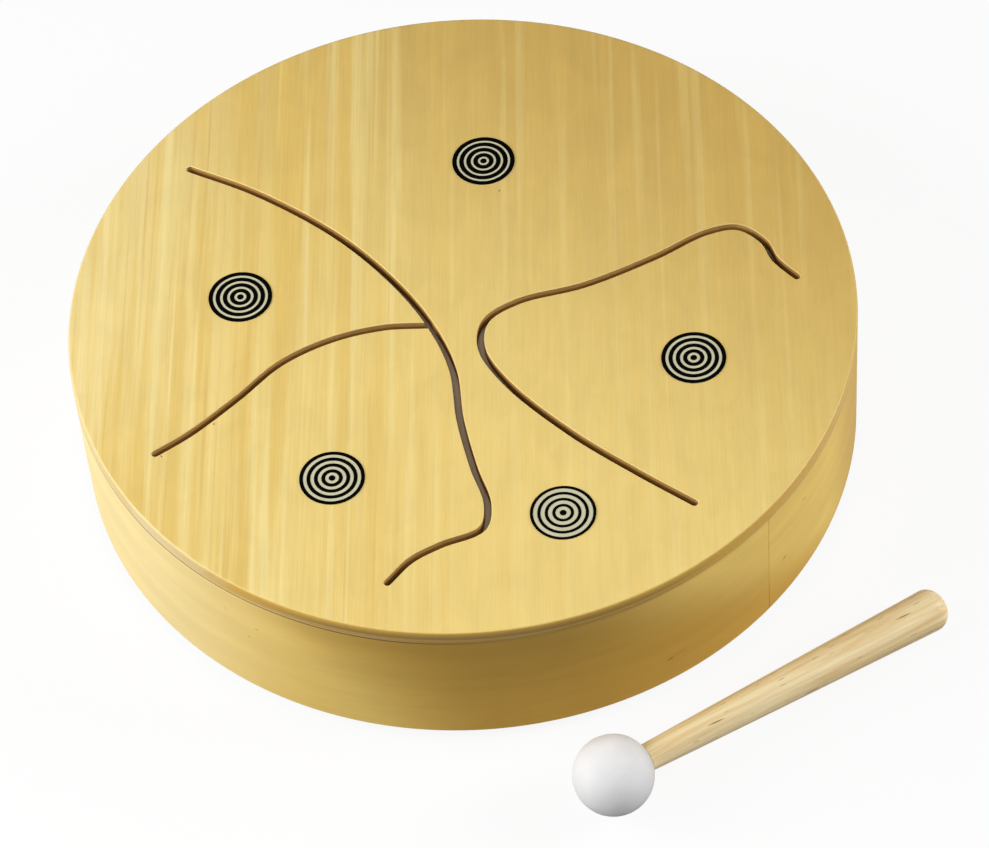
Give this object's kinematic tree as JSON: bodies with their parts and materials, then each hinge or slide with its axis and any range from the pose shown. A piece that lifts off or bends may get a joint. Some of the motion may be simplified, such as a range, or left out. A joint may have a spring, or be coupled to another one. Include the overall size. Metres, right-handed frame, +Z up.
{
  "type": "slit drum",
  "caption": "Round wooden slit drum: a closed box of bent hoops whose top board is sawn into flexing tongues with ring marks, on rubber feet, with a ball mallet beside it.",
  "frame": {"origin": "centre of the base board's underside, on the drum's axis; the feet reach 6 mm below it, down to the floor", "axes": "+Z up out of the playing face, +Y away from the player towards the back zone, +X to the player's right"},
  "size_m": [0.4069, 0.4394, 0.0854],
  "materials": {
    "board_wood": "pale plywood face veneer, satin lacquer",
    "shell_wood": "pale bent plywood, satin lacquer",
    "inner_wood": "raw plywood",
    "base_wood": "plywood, thin lacquer",
    "mark_film": "printed film, black rings on pale grey",
    "foot_rubber": "moulded",
    "screw_steel": "zinc plated",
    "ball_rubber": "smooth, matte",
    "handle_wood": "turned, open pored, oiled"
  },
  "bodies": {
    "drum": {"outer_hoop": "shell_wood", "inner_hoop": "inner_wood", "top_lining_1": "inner_wood", "top_lining_2": "inner_wood", "top_lining_3": "inner_wood", "top_lining_4": "inner_wood", "top_lining_5": "inner_wood", "top_lining_6": "inner_wood", "top_lining_7": "inner_wood", "top_lining_8": "inner_wood", "bottom_lining_1": "inner_wood", "bottom_lining_2": "inner_wood", "bottom_lining_3": "inner_wood", "bottom_lining_4": "inner_wood", "bottom_lining_5": "inner_wood", "bottom_lining_6": "inner_wood", "bottom_lining_7": "inner_wood", "bottom_lining_8": "inner_wood", "base_board": "base_wood", "sounding_board": "board_wood", "mark_back": "mark_film", "mark_front": "mark_film", "foot_1": "foot_rubber", "foot_2": "foot_rubber", "foot_3": "foot_rubber", "foot_4": "foot_rubber", "foot_screw_1": "screw_steel", "foot_screw_2": "screw_steel", "foot_screw_3": "screw_steel", "foot_screw_4": "screw_steel"},
    "left_tongue": {"tongue_left": "board_wood", "mark_left": "mark_film"},
    "front_left_tongue": {"tongue_front_left": "board_wood", "mark_front_left": "mark_film"},
    "right_tongue": {"tongue_right": "board_wood", "mark_right": "mark_film"},
    "mallet": {"mallet_ball": "ball_rubber", "mallet_handle": "handle_wood"}
  },
  "joints": [
    {"name": "left_tongue_flex", "type": "hinge", "parent": "drum", "child": "left_tongue", "pos_m": [-0.13879, 0.01725, 0.075], "axis": [-0.1216, -0.9926, 0], "range_deg": [-0.5, 0.5], "stiffness_Nm_per_rad": 40},
    {"name": "front_left_tongue_flex", "type": "hinge", "parent": "drum", "child": "front_left_tongue", "pos_m": [-0.09703, -0.11378, 0.075], "axis": [0.7718, -0.6358, 0], "range_deg": [-0.5, 0.5], "stiffness_Nm_per_rad": 40},
    {"name": "right_tongue_flex", "type": "hinge", "parent": "drum", "child": "right_tongue", "pos_m": [0.13103, -0.06227, 0.075], "axis": [0.4318, 0.902, 0], "range_deg": [-0.5, 0.5], "stiffness_Nm_per_rad": 40},
    {"name": "mallet_lift", "type": "slide", "parent": "drum", "child": "mallet", "axis": [0, 0, 1], "range_m": [0, 0.25]}
  ]
}
